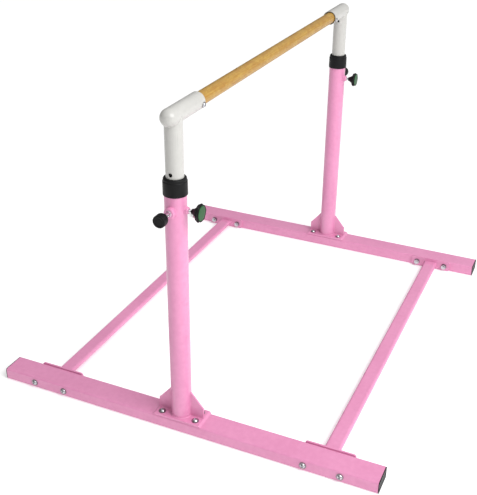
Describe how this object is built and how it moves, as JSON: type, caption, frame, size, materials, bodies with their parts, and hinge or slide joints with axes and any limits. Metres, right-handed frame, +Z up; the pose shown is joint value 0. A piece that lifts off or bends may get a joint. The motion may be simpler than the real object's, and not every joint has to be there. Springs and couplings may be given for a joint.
{
  "type": "adjustable horizontal training bar",
  "caption": "Height-adjustable horizontal gymnastics bar: wooden bar on telescopic posts locked by pull pins and clamp screws, on a bolted steel floor frame.",
  "frame": {"origin": "on the floor, midway between the two uprights, at the centre of the floor frame", "axes": "+Z up; +X along the bar, towards the right upright; +Y along the floor rails, towards the back. The clamp screws are at the front, -Y"},
  "size_m": [1.4846, 1.22, 0.979],
  "materials": {
    "pink_powder_coat": "gloss powder coat, light orange peel",
    "grey_powder_coat": "satin powder coat, very light grey",
    "lacquered_wood": "clear lacquer on straight-grained wood",
    "black_plastic": "moulded, fine satin texture",
    "green_plastic": "moulded, semi-gloss dark green",
    "zinc_steel": "bright zinc plated",
    "bright_steel": "nickel plated",
    "spring_steel": "drawn wire",
    "brass": "turned"
  },
  "bodies": {
    "floor_frame": {"left_rail": "pink_powder_coat", "right_rail": "pink_powder_coat", "left_front_end_cap": "black_plastic", "left_back_end_cap": "black_plastic", "right_front_end_cap": "black_plastic", "right_back_end_cap": "black_plastic", "front_cross_tube": "pink_powder_coat", "back_cross_tube": "pink_powder_coat", "front_left_flange": "pink_powder_coat", "front_right_flange": "pink_powder_coat", "back_left_flange": "pink_powder_coat", "back_right_flange": "pink_powder_coat", "flange_bolts": "zinc_steel", "flange_washers": "zinc_steel", "flange_nuts": "zinc_steel", "left_foot_plate": "pink_powder_coat", "right_foot_plate": "pink_powder_coat", "left_front_gusset": "pink_powder_coat", "left_back_gusset": "pink_powder_coat", "right_front_gusset": "pink_powder_coat", "right_back_gusset": "pink_powder_coat", "foot_bolts": "zinc_steel", "foot_washers": "zinc_steel", "foot_rivet_nuts": "zinc_steel", "left_upright": "pink_powder_coat", "right_upright": "pink_powder_coat", "left_collar": "black_plastic", "right_collar": "black_plastic", "left_pin_boss": "pink_powder_coat", "right_pin_boss": "pink_powder_coat", "left_pin_housing": "bright_steel", "right_pin_housing": "bright_steel", "left_pin_spring": "spring_steel", "right_pin_spring": "spring_steel", "left_clamp_boss": "pink_powder_coat", "right_clamp_boss": "pink_powder_coat"},
    "top_frame": {"left_post": "grey_powder_coat", "right_post": "grey_powder_coat", "left_post_foot": "black_plastic", "right_post_foot": "black_plastic", "left_elbow": "grey_powder_coat", "right_elbow": "grey_powder_coat", "left_bar_liner": "black_plastic", "right_bar_liner": "black_plastic", "bar": "lacquered_wood", "socket_screws": "zinc_steel", "socket_washers": "zinc_steel"},
    "left_pin": {"left_pin_plunger": "bright_steel", "left_pin_knob": "black_plastic"},
    "right_pin": {"right_pin_plunger": "bright_steel", "right_pin_knob": "black_plastic"},
    "left_clamp_tip": {"left_clamp_pad": "brass"},
    "right_clamp_tip": {"right_clamp_pad": "brass"},
    "left_clamp_screw": {"left_clamp_stud": "bright_steel", "left_clamp_knob": "black_plastic", "left_clamp_cap": "green_plastic"},
    "right_clamp_screw": {"right_clamp_stud": "bright_steel", "right_clamp_knob": "black_plastic", "right_clamp_cap": "green_plastic"}
  },
  "joints": [
    {"name": "height_slide", "type": "slide", "parent": "floor_frame", "child": "top_frame", "axis": [0, 0, 1], "range_m": [-0.1, 0.5]},
    {"name": "left_pin_pull", "type": "slide", "parent": "floor_frame", "child": "left_pin", "axis": [-1, 0, 0], "range_m": [0, 0.009], "stiffness_N_per_m": 1500, "springref_m": -0.008, "deforming": ["left_pin_spring"]},
    {"name": "right_pin_pull", "type": "slide", "parent": "floor_frame", "child": "right_pin", "axis": [1, 0, 0], "range_m": [0, 0.009], "stiffness_N_per_m": 1500, "springref_m": -0.008, "deforming": ["right_pin_spring"]},
    {"name": "left_clamp_travel", "type": "slide", "parent": "floor_frame", "child": "left_clamp_tip", "axis": [0, -1, 0], "range_m": [0, 0.0025]},
    {"name": "left_clamp_turn", "type": "hinge", "parent": "left_clamp_tip", "child": "left_clamp_screw", "pos_m": [-0.65, -0.05, 0.705], "axis": [0, -1, 0], "range_deg": [0, 720]},
    {"name": "right_clamp_travel", "type": "slide", "parent": "floor_frame", "child": "right_clamp_tip", "axis": [0, -1, 0], "range_m": [0, 0.0025]},
    {"name": "right_clamp_turn", "type": "hinge", "parent": "right_clamp_tip", "child": "right_clamp_screw", "pos_m": [0.65, -0.05, 0.705], "axis": [0, -1, 0], "range_deg": [0, 720]}
  ],
  "couplings": [
    {"joint": "left_clamp_turn", "follows": "left_clamp_travel", "rad_per_m": 5026.5},
    {"joint": "right_clamp_turn", "follows": "right_clamp_travel", "rad_per_m": 5026.5}
  ]
}
